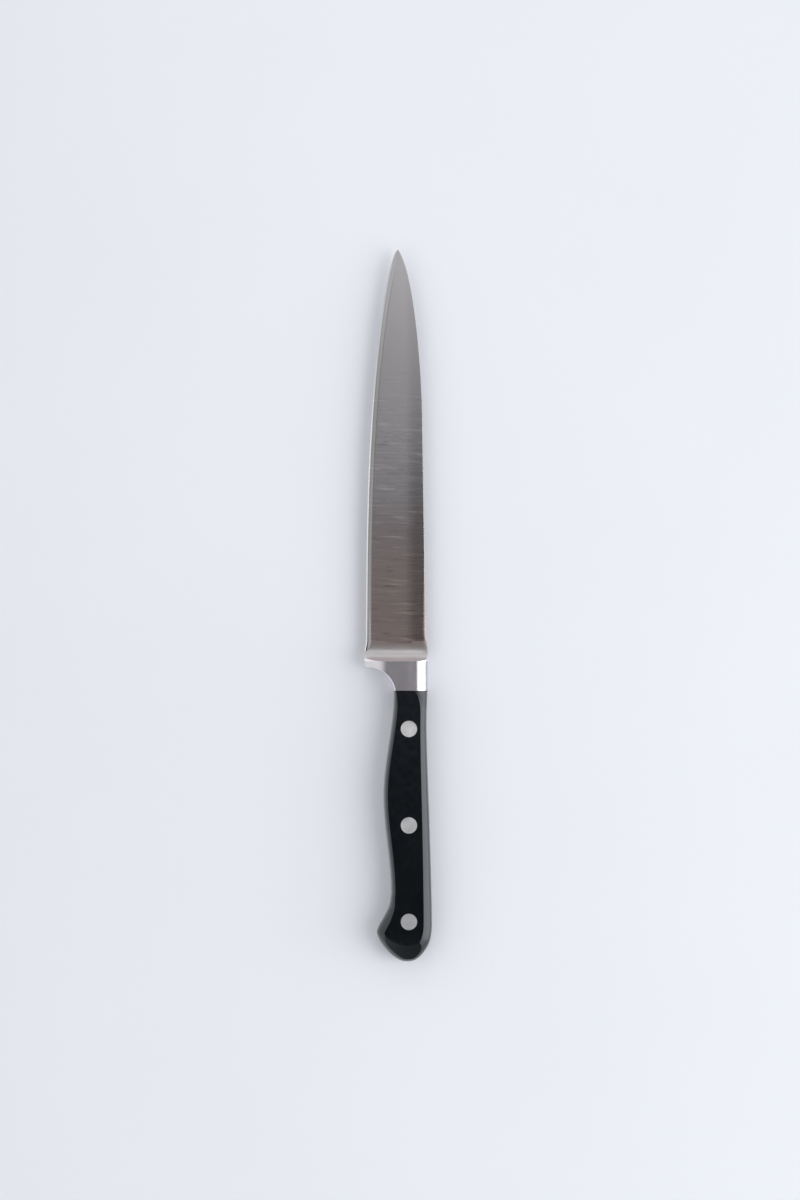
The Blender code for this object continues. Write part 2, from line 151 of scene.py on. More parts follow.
def evenly(points, count):
    """The smooth curve through measured points, cut into evenly spaced ones."""
    knots = distances(points)
    fine = smooth(knots, points, np.linspace(0, knots[-1], CUTS_BETWEEN * len(points)))
    along = distances(fine)
    even = np.linspace(0, along[-1], count)
    return np.stack([np.interp(even, along, fine[:, axis]) for axis in range(points.shape[1])], axis=1)


def measured(node):
    """The corner points of a frame node, in millimetres."""
    return np.array([vertex.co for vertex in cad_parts[node].data.vertices]) / MM


print("corners of the left scale:", len(measured("left_scale")))

# %% [markdown]
# ## From rings to a mesh
# Most pieces are lofts: rings with the same number of points, skinned with four-sided faces. Such a mesh
# shades smoothly and can be edited later. Edges that turn by more than a set angle are marked sharp, so a
# ground edge stays crisp next to a polished curve.

# %% Mesh makers
TURN_STEPS = 96


def as_piece(bm, name, finishes, sharp_angle):
    bmesh.ops.recalc_face_normals(bm, faces=bm.faces)
    mesh = bpy.data.meshes.new(name)
    bm.to_mesh(mesh)
    bm.free()
    mesh.shade_smooth()
    mesh.set_sharp_from_angle(angle=math.radians(sharp_angle))
    for finish in finishes:
        mesh.materials.append(finish)
    piece = bpy.data.objects.new(name, mesh)
    bpy.context.scene.collection.objects.link(piece)
    return piece


def face_of(bm, corners, strip=0):
    """A face through these points, which leaves out a point that comes twice."""
    corners = list(dict.fromkeys(corners))
    if len(corners) > 2:
        bm.faces.new(corners).material_index = strip


def skin(bm, loops, finish_at):
    """Four-sided faces between closed loops, with a finish by ring and point."""
    count = len(loops[0])
    for k, (lower, upper) in enumerate(zip(loops, loops[1:])):
        for i in range(count):
            j = (i + 1) % count
            face_of(bm, [lower[i], lower[j], upper[j], upper[i]], finish_at(k, i))


def loft(name, rings, finishes, sharp_angle=25, finish_at=lambda ring, point: 0):
    """A closed solid through rings of (x, y, z) points."""
    bm = bmesh.new()
    loops = [[bm.verts.new(point) for point in np.asarray(ring) * MM] for ring in rings]
    for loop in (loops[0], loops[-1]):
        face_of(bm, loop)
    skin(bm, loops, finish_at)
    return as_piece(bm, name, finishes, sharp_angle)


def turned(name, profile, place, finishes):
    """A round solid on a standing axis, from (radius, height above the middle) pairs."""
    angles = np.arange(TURN_STEPS) * math.tau / TURN_STEPS
    circle = np.stack([np.cos(angles), np.sin(angles)], axis=1)
    rings = []
    for radius, height in profile:
        rings.append(np.column_stack([place + circle * radius, np.full(TURN_STEPS, MIDDLE + height)]))
    return loft(name, rings, finishes, sharp_angle=30)


print("a turned piece has", TURN_STEPS, "sides")

# %% [markdown]
# ## Finishes
# Nothing on a knife is one even colour. Each finish starts from the plain shader, sets what is the same
# everywhere straight on its sockets, and lets procedural noise vary the rest: colour, roughness and height.

# %% Shader and node helpers


def new_finish(name, metallic, roughness, **sockets):
    finish = bpy.data.materials.new(name)
    finish.use_nodes = True
    shader = finish.node_tree.nodes["Principled BSDF"]
    shader.inputs["Metallic"].default_value = metallic
    shader.inputs["Roughness"].default_value = roughness
    for socket, value in sockets.items():
        shader.inputs[socket.replace("_", " ")].default_value = value
    return finish.node_tree, shader


def add(tree, kind, inputs=None, **settings):
    """A node with settings, and with inputs that are numbers or other nodes' outputs."""
    made = tree.nodes.new("ShaderNode" + kind)
    for setting, value in settings.items():
        setattr(made, setting, value)
    for socket, value in (inputs or {}).items():
        if isinstance(value, bpy.types.NodeSocket):
            tree.links.new(value, made.inputs[socket])
        else:
            made.inputs[socket].default_value = value
    return made


def maths(operation, tree, first, second):
    return add(tree, "Math", {0: first, 1: second}, operation=operation).outputs[0]


def spread(tree, value, least, most, start=0.3, end=0.7):
    """The value moved from one range into another."""
    ranges = {"Value": value, "From Min": start, "From Max": end, "To Min": least, "To Max": most}
    return add(tree, "MapRange", ranges).outputs["Result"]


plus, minus, times = (partial(maths, operation) for operation in ("ADD", "SUBTRACT", "MULTIPLY"))
print("helpers: add, plus, minus, times, spread")

# %% [markdown]
# ### Noise, tones and relief
# Noise is read at the place on the knife, so a pattern stays put when the camera moves. Stretched one way
# it gives grinding lines, left round it gives clouds. A tone that drifts along the knife is a colour ramp,
# which is easier to tune than a chain of mixed colours.

# %% Noise, tones and relief


def noise(tree, waves, detail=2.0, rough=0.5, turn=0.0):
    """Noise in waves a metre along x, y and z, after a turn of the pattern."""
    place = add(tree, "TexCoord").outputs["Object"]
    place = add(tree, "Mapping", {"Vector": place, "Rotation": (0.0, 0.0, turn)}).outputs["Vector"]
    place = add(tree, "Mapping", {"Vector": place, "Scale": waves}).outputs["Vector"]
    inputs = {"Vector": place, "Scale": 1.0, "Detail": detail, "Roughness": rough}
    return add(tree, "TexNoise", inputs).outputs["Fac"]


def along_knife(tree, axis, start, end, first=0, last=1):
    """From a first to a last value between two places on one axis, in millimetres."""
    place = add(tree, "SeparateXYZ", {"Vector": add(tree, "TexCoord").outputs["Object"]}).outputs[axis]
    return spread(tree, place, first, last, start * MM, end * MM)


def paint(tree, shader, tones, factor, axis="Y"):
    """The base colour: (place in millimetres, colour) pairs along the knife, times a factor near 1."""
    start, end = tones[0][0], tones[-1][0]
    ramp = add(tree, "ValToRGB", {"Fac": along_knife(tree, axis, start, end)})
    stops = ramp.color_ramp.elements
    stops[0].color, stops[1].color = (*tones[0][1], 1.0), (*tones[-1][1], 1.0)
    for place, colour in tones[1:-1]:
        stops.new((place - start) / (end - start)).color = (*colour, 1.0)
    scaled = add(tree, "VectorMath", {0: ramp.outputs["Color"], 1: factor}, operation="MULTIPLY")
    tree.links.new(scaled.outputs["Vector"], shader.inputs["Base Color"])


def roughen(tree, shader, roughness, height, depth_mm):
    """A roughness that varies, and a relief that tilts the reflections."""
    tree.links.new(roughness, shader.inputs["Roughness"])
    made = add(tree, "Bump", {"Height": height, "Distance": depth_mm * MM, "Strength": 1.0})
    tree.links.new(made.outputs["Normal"], shader.inputs["Normal"])


print("helpers: noise, along_knife, paint, roughen")

# %% [markdown]
# ### Blade steel
# The blade is ground across its length. Such grooves smear a reflection along the blade and keep it tight
# across it, as the anisotropic setting does with a tangent along the blade. Deeper strokes of the belt show
# bright, in groups, or dull, and fade towards the tip. They could be a picture, but noise never repeats and
# stays sharp from close by.

# %% Ground steel
DARK_REFLECTION_ACROSS = (3.4, 7.9)
DARK_REFLECTION_ALONG = (40, 110)
DARK_REFLECTION_AMOUNT = (0.27, 0.03)
STROKES_FADE = (72, 112)
STROKES_AT_TIP = 0.03
BRIGHT_RANGE = (0.60, 0.75)
DULL_RANGE = (0.65, 0.775)


def painted_dark_reflection(tree):
    """Painted dark reflection: darker along the back, where the level face mirrors the dark ceiling, most
    near the heel.
    """
    across = along_knife(tree, "X", *DARK_REFLECTION_ACROSS)
    return minus(tree, 1.0, times(tree, across, along_knife(tree, "Y", *DARK_REFLECTION_ALONG, *DARK_REFLECTION_AMOUNT)))


def belt_strokes(tree):
    """Single strokes of the belt: bright ones in groups, less dull ones."""
    bright = spread(tree, noise(tree, (75, 1050, 75), 1.0, turn=0.07), 0, 1, *BRIGHT_RANGE)
    dull = spread(tree, noise(tree, (110, 1150, 110), 1.0, turn=-0.02), 0, 1, *DULL_RANGE)
    grouped = times(tree, bright, spread(tree, noise(tree, (70, 32, 70)), 0.1, 1))
    return minus(tree, times(tree, grouped, 0.64), times(tree, dull, 0.34))


def ground_steel(name, roughness, tones, anisotropic, groove, strokes=0.3, paint_dark_reflection=False):
    tree, shader = new_finish(name, 1.0, roughness, Anisotropic=anisotropic)
    fine = noise(tree, (70, 1700, 70))
    lines = belt_strokes(tree)
    left = along_knife(tree, "Y", *STROKES_FADE, strokes, STROKES_AT_TIP * strokes)
    texture = times(tree, plus(tree, lines, spread(tree, fine, -0.025, 0.014)), left)
    factor = plus(tree, texture, 1.0)
    # The blade's face is painted darker along its back, a painted dark reflection.
    if paint_dark_reflection:
        factor = times(tree, factor, painted_dark_reflection(tree))
    paint(tree, shader, tones, factor)
    tree.links.new(add(tree, "CombineXYZ", {"Y": 1.0}).outputs["Vector"], shader.inputs["Tangent"])
    uneven = plus(tree, times(tree, spread(tree, fine, -0.02, 0.02), left), roughness)
    relief = times(tree, plus(tree, lines, times(tree, fine, 0.3)), left)
    roughen(tree, shader, uneven, relief, groove)
    return bpy.data.materials[name]


print("strokes fade between", *STROKES_FADE, "mm")

# %% [markdown]
# ### The strips of the blade
# Face, bevel, the line above the fine edge, fine edge, back and cove each get a tone of their own, and
# most of these tones are painted light: painted highlight on the bevel and the fine edge, painted shade
# on the lines at the shoulder and above the fine edge, and a painted bright reflection in the cove by the
# bolster. The tones also drift, from dark and warm at the heel to pale near the tip, a painted reflection
# too.

# %% The blade's finishes
# Painted reflection: the face is dark and warm at the heel and pale towards the tip.
BLADE_TONES = [(-18, (0.47, 0.38, 0.37)), (14, (0.45, 0.385, 0.37)), (34, (0.435, 0.385, 0.395)),
               (52, (0.505, 0.485, 0.515)), (80, (0.56, 0.54, 0.57)), (134, (0.55, 0.535, 0.56))]
# Painted highlight: the bevel and, brighter still, the fine edge are painted lighter than the face.
BEVEL_TONES = [(-18, (0.56, 0.53, 0.54)), (25, (0.68, 0.66, 0.67)), (52, (0.78, 0.77, 0.78)),
               (134, (0.66, 0.655, 0.67)), (155, (0.58, 0.575, 0.60))]
EDGE_TONES = [(-18, (0.86, 0.86, 0.87)), (75, (0.90, 0.90, 0.91)), (95, (0.72, 0.72, 0.73)),
              (134, (0.62, 0.62, 0.63)), (155, (0.52, 0.52, 0.54))]
BACK_TONES = [(-18, (0.50, 0.47, 0.47)), (134, (0.54, 0.53, 0.54))]
# Painted shade: a darker line along the bevel's shoulder.
SHOULDER_SHADE_TONES = [(-18, (0.40, 0.33, 0.32)), (34, (0.34, 0.30, 0.31)), (134, (0.44, 0.43, 0.45))]
# Painted shade: a darker line above the fine edge, black at the heel as the plunge's painted shadow.
SHADE_LINE_TONES = [(-19, (0.05, 0.05, 0.05)), (-14, (0.24, 0.23, 0.23)), (0, (0.45, 0.44, 0.45)),
               (60, (0.52, 0.52, 0.53)), (134, (0.56, 0.56, 0.57))]
# Painted reflection: the cove is nearly white where it rises to the bolster's flat.
COVE_TONES = [(-25, (0.97, 0.94, 0.96)), (-23.6, (0.87, 0.84, 0.86)), (-21.6, (0.555, 0.54, 0.545)),
              (-19.4, (0.45, 0.425, 0.43)), (-17, (0.41, 0.345, 0.335))]

FACE_STRIP, BEVEL_STRIP, EDGE_STRIP, BACK_STRIP, SHOULDER_SHADE_STRIP, SHADE_LINE_STRIP = range(6)
blank_finishes = [
    ground_steel("blade_satin", 0.28, BLADE_TONES, 0.8, groove=0.0030, strokes=1.0, paint_dark_reflection=True),
    ground_steel("bevel_satin", 0.29, BEVEL_TONES, 0.6, groove=0.0005),
    ground_steel("fine_edge", 0.45, EDGE_TONES, 0.2, groove=0.0005),
    ground_steel("ground_back", 0.34, BACK_TONES, 0.5, groove=0.0008),
    ground_steel("grind_line", 0.36, SHOULDER_SHADE_TONES, 0.4, groove=0.0007),
    ground_steel("stone_line", 0.36, SHADE_LINE_TONES, 0.4, groove=0.0005),
]
cove_finish = ground_steel("cove_satin", 0.36, COVE_TONES, 0.0, groove=0.0005)
print("ground finishes:", [finish.name for finish in (*blank_finishes, cove_finish)])

# %% [markdown]
# ### Bolster steel
# The bolster is polished but not a perfect mirror: hairlines, a few scratches and faint clouds keep it from
# looking like plastic chrome. Its base colour is painted light and shade across the knife: darker at the
# chin, grey on the flat, lighter towards the rounded back, a painted highlight that adds to the lamp's white
# strip, and darker in a thin band at the back's corner, a painted reflection.

# %% Bolster steel
# Painted highlight and painted reflection, across the bolster.
BOLSTER_TONES = [(-15, (0.70, 0.69, 0.725)), (-7, (0.71, 0.69, 0.73)), (-4, (0.83, 0.783, 0.855)),
                 (2.8, (0.83, 0.783, 0.855)), (5.6, (0.96, 0.908, 0.98)), (9, (0.95, 0.93, 0.96)),
                 (11.5, (0.95, 0.93, 0.96)), (12.1, (0.60, 0.60, 0.62)), (13, (0.58, 0.58, 0.60))]

tree, shader = new_finish("bolster_polish", 1.0, 0.25)
hairlines = noise(tree, (3200, 160, 400), 3.0, 0.6)
scratches = spread(tree, noise(tree, (260, 2600, 260), 1.0), 0, 0.10, 0.68, 0.76)
clouds = noise(tree, (120, 120, 120), 3.0)
shade = plus(tree, spread(tree, hairlines, 0.985, 1.015), scratches)
shade = plus(tree, shade, spread(tree, clouds, -0.035, 0.035))
paint(tree, shader, BOLSTER_TONES, shade, "X")
relief = plus(tree, hairlines, times(tree, clouds, 4.0))
roughen(tree, shader, spread(tree, hairlines, 0.24, 0.265), relief, 0.0003)
bolster_finish = bpy.data.materials["bolster_polish"]
print("bolster finish:", bolster_finish.name)

# %% [markdown]
# ### Resin
# The scales are buffed black resin, whose gloss varies where the wheel dwelt. The rounded rims get a second
# finish with a wider gloss and a little sheen, which lights up where a surface turns away, as dust and wear
# do. Their base colour is greyer, partly wear and partly painted reflection, and darker towards the butt as
# painted shade. A cool tint stands for the bluish light of black resin.

# %% Resin
RESIN_TONES = [(BUTT, (0.0030, 0.0035, 0.0055)), (BUTT + 9, (0.0025, 0.0030, 0.0050)),
               (BUTT + 13, (0.0001, 0.0010, 0.0018)), (-115, (0.0008, 0.0014, 0.0030)),
               (JOINT, (0.0062, 0.0070, 0.0100))]
# Rims: greyer partly as painted reflection, darker towards the butt as painted shade.
RIM_TONES = [(BUTT, (0.006, 0.009, 0.013)), (JOINT, (0.017, 0.019, 0.024))]
GLOSS_VARIES = 0.05


def buffed_resin(name, roughness, tones, **sockets):
    tree, shader = new_finish(name, 0.0, roughness, **sockets)
    swirls = noise(tree, (420, 420, 420), 4.0, 0.6)
    both = plus(tree, swirls, noise(tree, (60, 25, 60)))
    paint(tree, shader, tones, spread(tree, swirls, 0.7, 1.3))
    gloss = spread(tree, both, roughness - GLOSS_VARIES, roughness + GLOSS_VARIES, 0.7, 1.3)
    roughen(tree, shader, gloss, swirls, 0.0015)
    return bpy.data.materials[name]


resin_finish = buffed_resin("buffed_resin", 0.17, RESIN_TONES, IOR=1.5, Specular_Tint=(0.82, 0.97, 1.0, 1.0))
rim_finish = buffed_resin("rounded_resin", 0.22, RIM_TONES, IOR=1.6, Sheen_Weight=0.6, Sheen_Roughness=0.45,
                          Specular_Tint=(0.90, 0.95, 1.0, 1.0))
print("resin finishes:", resin_finish.name, rim_finish.name)

# %% [markdown]
# ### Rivet steel
# The heads were ground flush with the scales and never polished, so they look matt and pale, with fine
# straight scratches and faint clouds. The heads are painted darker towards the butt, a painted shade.

# %% Rivet steel
# Painted shade: the heads are darker towards the butt.
RIVET_TONES = [(BUTT, (0.455, 0.465, 0.49)), (JOINT, (0.74, 0.73, 0.745))]

tree, shader = new_finish("rivet_flush", 1.0, 0.5)
scratches = noise(tree, (500, 6000, 500), 3.0, 0.6)
clouds = noise(tree, (300, 300, 300))
factor = spread(tree, plus(tree, scratches, clouds), 0.92, 1.08, 0.7, 1.3)
paint(tree, shader, RIVET_TONES, factor)
roughen(tree, shader, spread(tree, clouds, 0.44, 0.56), scratches, 0.0015)
rivet_finish = bpy.data.materials["rivet_flush"]
print("rivet finish:", rivet_finish.name)

# %% [markdown]
# ## The handle's outline
# Blank and scales are sanded together, so one outline serves both. It is read off the inner face of the
# frame's left scale, without the rivet holes: from the joint along the belly to the butt's end and back up
# along the back.

# %% Outline of the handle
RIVETS = ("front", "middle", "butt")
LINE_POINTS = 330
HAIR = 0.03
HOLE_MARGIN = 0.4
SAME_LEVEL = 0.01

RIVET_PLACES = {}
for rivet in RIVETS:
    corner_low, corner_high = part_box(f"{rivet}_rivet_post")
    RIVET_PLACES[rivet] = ((corner_low + corner_high) / 2 / MM)[:2]
HEAD_RADIUS = (high("front_rivet_post", 0) - low("front_rivet_post", 0)) / 2


def handle_line():
    """Two halves with as many points each, belly and back, both from the joint to the butt."""
    points = measured("left_scale")
    points = points[abs(points[:, 2] - low("left_scale", 2)) < SAME_LEVEL][:, :2]
    for place in RIVET_PLACES.values():
        points = points[np.linalg.norm(points - place, axis=1) > HEAD_RADIUS - HOLE_MARGIN]
    points = np.unique(points.round(3), axis=0)
    end = points[points[:, 1].argmin()]
    halves = []
    for side in (points[points[:, 0] < end[0]], points[points[:, 0] > end[0]]):
        side = side[side[:, 1].argsort()[::-1]]
        step = side[0] - side[1]
        first = side[0] + step / step[1] * (JOINT - HAIR - side[0][1])
        halves.append(evenly(np.vstack([first, side[1:], end]), LINE_POINTS))
    return halves


belly_line, back_line = handle_line()
outline = np.vstack([belly_line, back_line[-2::-1]])
on_belly = np.arange(len(outline)) < LINE_POINTS
print("handle outline:", len(outline), "points,", round(distances(outline)[-1], 1), "mm round")

# %% [markdown]
# ## The blade and its tang
# On the real knife this is one stamped and ground plate. A loft of cross-sections follows its taper, bevel
# and eased back in one go, where cutting it would take many steps. The frame gives four rails: edge, fine
# edge, bevel shoulder and back. The point is drawn slightly slimmer, and the edge is set back by a hair
# towards the heel, where use and the stone wear it most.

# %% Rails of the blade
COVE_END = JOINT + 22.0
HEEL = JOINT + 17.2
BEVEL = 2.2
EDGE_HALF = 0.03
FINE_EDGE_HALF = 0.18
TIP_SPLIT = -0.2
BLADE_SECTIONS = 170
SLIMMER, SLIM_LENGTH = 0.3, 13
WORN, WORN_FROM, WORN_LENGTH = 0.3, 78, 84
EDGE_RAIL, SHOULDER_RAIL, BACK_RAIL = 0, 2, 3


def blade_rails():
    """Rows from the tip down, of (x, height) for edge, fine edge, shoulder and back."""
    points = measured("blade_and_tang")
    points = points[(points[:, 2] > MIDDLE) & (points[:, 1] > COVE_END - 0.1)] - (0, 0, MIDDLE)
    lowest = abs(points[:, 2] - EDGE_HALF) < SAME_LEVEL
    second = abs(points[:, 2] - FINE_EDGE_HALF) < SAME_LEVEL
    beyond = points[:, 0] > TIP_SPLIT
    kept = [lowest, second, ~lowest & ~second & ~beyond, ~lowest & ~second & beyond]
    rows = np.unique(points[lowest, 1].round(3))[::-1]
    rails = []
    for rail in (points[keep][points[keep, 1].argsort()] for keep in kept):
        rails.append([np.interp(rows, rail[:, 1], rail[:, axis]) for axis in (0, 2)])
    return rows, np.array(rails).transpose(2, 0, 1)


def fitted(rows, places):
    """The rows with a slimmer point and, towards the heel, a worn edge."""
    from_point = TIP - places
    rows[:, BACK_RAIL, 0] -= SLIMMER * (1 - ease(from_point / SLIM_LENGTH)) * np.clip(from_point, 0, 1)
    rows[:, :BACK_RAIL, 0] += WORN * ease((WORN_FROM - places) / WORN_LENGTH)[:, None]
    return rows


places, rails = blade_rails()
from_tip = np.sqrt(TIP - places)
knots = np.linspace(0, from_tip[-1], BLADE_SECTIONS)
blade_places = TIP - knots**2
blade_rows = fitted(smooth(from_tip, rails, knots), blade_places)
print("rails measured at", len(places), "sections; blade", round(TIP - HEEL, 1), "mm long")

# %% [markdown]
# ### One section of the blank
# A section goes up from the edge over the strip of the painted shade line and the bevel, along the face to
# the back, and down again on the far side. The face is ground down towards the bevel but left level along
# the back, where it bends down softly. The back's corner is broken so that it doesn't cut the hand.

# %% One section of the blank
FACE_STEPS = 18
CORNER_STEPS = 4
FACE_SHARES = np.sin(quarter(FACE_STEPS + 1))[1:-1]
GRIND_LINE = 0.45
SHADE_LINE_WIDTH = 0.5
SOFT_TILT = 0.24
LEVEL_FROM = 0.62
LEVEL_BLEND = 0.2
face_knots = np.linspace(0, 1, 101)
face_rise = np.concatenate([[0], np.cumsum(1 - ease((face_knots[1:] - LEVEL_FROM) / LEVEL_BLEND))])
face_rise /= face_rise[-1]


def face_height(shoulder, back, share):
    """Height of the blade's face, which stays level along the back."""
    return mix(shoulder, back, np.interp(share, face_knots, face_rise))


def blank_ring(y, row, soft_width, corner):
    """One section, whose face bends over a soft width and whose back has a broken corner."""
    edge, fine, shoulder, back = row
    width = back[0] - shoulder[0]
    line = min(GRIND_LINE / width, 0.5 * FACE_SHARES[0])
    bevel = shoulder[0] - fine[0]
    shade_line_top = mix(fine, shoulder, min(SHADE_LINE_WIDTH / max(bevel, 0.01), 0.5))

    def face_point(share):
        over = max(share * width - (width - soft_width), 0.0)
        bent = SOFT_TILT * over**2 / (2 * soft_width)
        return shoulder[0] + share * width, float(face_height(shoulder[1], back[1], share)) - bent

    last = 1 - corner / width
    face = [face_point(share * last) for share in (line, *FACE_SHARES)]
    level = face_point(last)[1]
    rounded = []
    for angle in quarter(CORNER_STEPS):
        rounded.append((back[0] - corner * (1 - math.sin(angle)), level - corner * (1 - math.cos(angle))))
    side = [tuple(edge), tuple(fine), tuple(shade_line_top), tuple(shoulder), *face, *rounded]
    upper = [(x, y, MIDDLE + height) for x, height in side]
    lower = [(x, y, MIDDLE - height) for x, height in reversed(side)]
    return upper + lower


print("a section has", 2 * (4 + FACE_STEPS + CORNER_STEPS), "points")

# %% [markdown]
# ### Sections from the tip to the butt
# The sections lie closer together towards the tip, where the outline turns fastest. At the heel the bevel
# plunges out to the chin. The blank runs on unseen inside the bolster and then along the handle's outline,
# where its ground rim shows between the scales.

# %% Sections of the blade and the tang
SOFT_WIDTHS = (0.2, 2.2)
SOFT_LENGTH = 50
BROKEN_CORNER = 0.12
EASES_AT, EASES_OVER = 17.0, 5.0
HEEL_SECTIONS = 14
INSIDE = 0.1
HIDDEN_SECTIONS = ((16.6, 27.6), (11.6, 27.4), (10.6, 24.0), (9.5, 20.0), (6.0, 15.5), (0.2, 14.5))
TANG_SECTIONS = 190
TANG_RIM = 0.08


def blade_rings():
    rings = []
    for y, row in zip(blade_places, blade_rows):
        width = row[BACK_RAIL, 0] - row[SHOULDER_RAIL, 0]
        soft_width = mix(*SOFT_WIDTHS, 1 - ease((y - COVE_END) / SOFT_LENGTH))
        rings.append(blank_ring(y, row, min(soft_width, 0.4 * width), min(BROKEN_CORNER, 0.1 * width)))
    return rings


def edge_at(y):
    """The cutting edge between the cove's end and the heel, where it eases out to the chin's depth."""
    return mix(CHIN, blade_rows[-1][EDGE_RAIL, 0], ease((y - (JOINT + EASES_AT)) / EASES_OVER))


def hidden_rings():
    """The bevel runs on to the heel, and the blank goes on through the bolster, a hair inside it."""
    last = blade_rows[-1]
    rings = []
    for y in np.linspace(COVE_END, HEEL - INSIDE, HEEL_SECTIONS)[1:]:
        row = last.copy()
        row[:BACK_RAIL, 0] += edge_at(y) - last[EDGE_RAIL, 0]
        row[BACK_RAIL, 0] = min(last[BACK_RAIL, 0], BACK - INSIDE)
        rings.append(blank_ring(y, row, SOFT_WIDTHS[1], BROKEN_CORNER))
    for length, depth in HIDDEN_SECTIONS:
        edge = BACK - depth
        row = np.array([(edge, EDGE_HALF), (edge + 0.6, FINE_EDGE_HALF), (edge + BEVEL, 0.4),
                        (BACK - INSIDE, 0.9)])
        rings.append(blank_ring(JOINT + length, row, 0.3, BROKEN_CORNER))
    return rings


def tang_rings():
    rings = []
    for share in np.sin(quarter(TANG_SECTIONS)):
        y = mix(JOINT - HAIR, BUTT + 0.002, share)
        belly = np.interp(-y, -belly_line[:, 1], belly_line[:, 0])
        back = np.interp(-y, -back_line[:, 1], back_line[:, 0])
        rim = min(TANG_RIM, 0.2 * (back - belly))
        row = np.array([(belly, HALF_BLANK - rim), (belly + 0.3 * rim, HALF_BLANK - 0.3 * rim),
                        (belly + rim, HALF_BLANK), (back, HALF_BLANK)])
        rings.append(blank_ring(y, row, rim, rim))
    return rings


front_rings = [*blade_rings(), *hidden_rings()]
blank_rings = [*front_rings, *tang_rings()]
print("sections:", len(blank_rings))

# %% Skin the blank
side_strips = [EDGE_STRIP, SHADE_LINE_STRIP, BEVEL_STRIP, SHOULDER_SHADE_STRIP,
               *[FACE_STRIP] * FACE_STEPS, *[BACK_STRIP] * (CORNER_STEPS - 1)]
blank_strips = [*side_strips, BACK_STRIP, *reversed(side_strips), EDGE_STRIP]


def blank_strip(ring, point):
    """The blade's strips, and one plainly ground rim all round the tang."""
    return blank_strips[point] if ring < len(front_rings) - 1 else BACK_STRIP


blade = loft("blade_blank", blank_rings, blank_finishes, sharp_angle=4, finish_at=blank_strip)
print("blade:", len(blade.data.vertices), "points")

# %% [markdown]
# ## The bolster
# A bolster looks grown together with the blade: its cove runs out into the blade's face with no line. Each
# half is drawn as rows across the knife, from the belly edge over the chin's slope and the flat or the cove
# to the back. Circles would mirror the lamp in too hard a band, so cove and back start slower, the way a
# hand leads the work off a soft wheel.

# %% Surface of the bolster
FLAT_END = 13.0
COVE_RUN = 9.0
COVE_SWEEP = 0.93
COVE_POWER = 3.0
WALL_TOP = 2.2
BACK_ROUND = 6.1
BACK_POWER = 2.25
BACK_STEP, STEP_AT, STEP_LENGTH = 0.75, 18.74, 6.0
GRIP_DEPTH = 15.1
CHIN_DEPTH = BACK - CHIN
SLOPE_WIDTH = 10.1
SLOPE_DROP = 3.9
SLOPE_START = CHIN_DEPTH - SLOPE_WIDTH
SLOPE_RADIUS = (SLOPE_WIDTH**2 + SLOPE_DROP**2) / (2 * SLOPE_DROP)
FACE_AT_BACK = blade_rows[-1][BACK_RAIL, 1]
FACE_AT_SHOULDER = blade_rows[-1][SHOULDER_RAIL, 1]
SHOULDER_DEPTH = BACK - blade_rows[-1][SHOULDER_RAIL, 0]
SKIN = 0.005


def cove_curve(run):
    """A hollow that starts slower than a circle, as a round wheel feathers out."""
    return 1 - (1 - run**COVE_POWER) ** (1 / COVE_POWER)


def cove_height(length, depth):
    """Height of the cove, from the flat down to the blade's face."""
    run = np.clip((FLAT_END + COVE_RUN - length) / COVE_RUN, 0.0, 1.0)
    rise = cove_curve(run * COVE_SWEEP) / cove_curve(COVE_SWEEP)
    face = face_height(FACE_AT_SHOULDER, FACE_AT_BACK, 1 - np.clip(depth / SHOULDER_DEPTH, 0, 1)) + SKIN
    return mix(face, HALF_HANDLE, rise)


def face_over(length, depth):
    """Height of the bolster's flat or cove."""
    return float(cove_height(length, depth)) if length > FLAT_END else HALF_HANDLE


def surface(length, depth):
    """Height of the flat or the cove, or of the chin's slope where that is lower."""
    past = max(depth - SLOPE_START, 0.0)
    return min(face_over(length, depth), HALF_HANDLE - SLOPE_RADIUS + math.sqrt(SLOPE_RADIUS**2 - past**2))


def back_of_bolster(length):
    """Depth of the back, which steps down to the blade's back."""
    return float(BACK_STEP * ease((length - STEP_AT) / STEP_LENGTH))


def back_profile(angle):
    """The back's rounding, as shares of its reach and height."""
    return 1 - math.cos(angle) ** (2 / BACK_POWER), math.sin(angle) ** (2 / BACK_POWER)


print("height at the cove's middle:", round(surface(FLAT_END + COVE_RUN / 2, 0), 2), "mm")

# %% [markdown]
# ### The belly edge of the bolster
# The lower edge sweeps up from the handle in a finger hollow, turns round the chin and runs beside the
# bevel that plunges out of it. All rows start here, so it is written as plain arcs and straight stretches.
# Its rim is rounded widely in the hollow and barely at the cove.

# %% Belly edge of the bolster
BELLY_ROUND = 1.1
CHIN_ROUND = 0.6
COVE_ROUND = 0.1
CHIN_BOTTOM = 9.9
CHIN_CORNER = 1.1
FINGER_RADIUS = CHIN_DEPTH - CHIN_CORNER - GRIP_DEPTH
FINGER_START = CHIN_BOTTOM - FINGER_RADIUS
PLUNGE_RUN = 3.3
PLUNGE_END = HEEL - JOINT + PLUNGE_RUN
PLUNGE_WIDTH = BEVEL + 0.03
THINS_AT, THINS_OVER = 15.0, 2.2


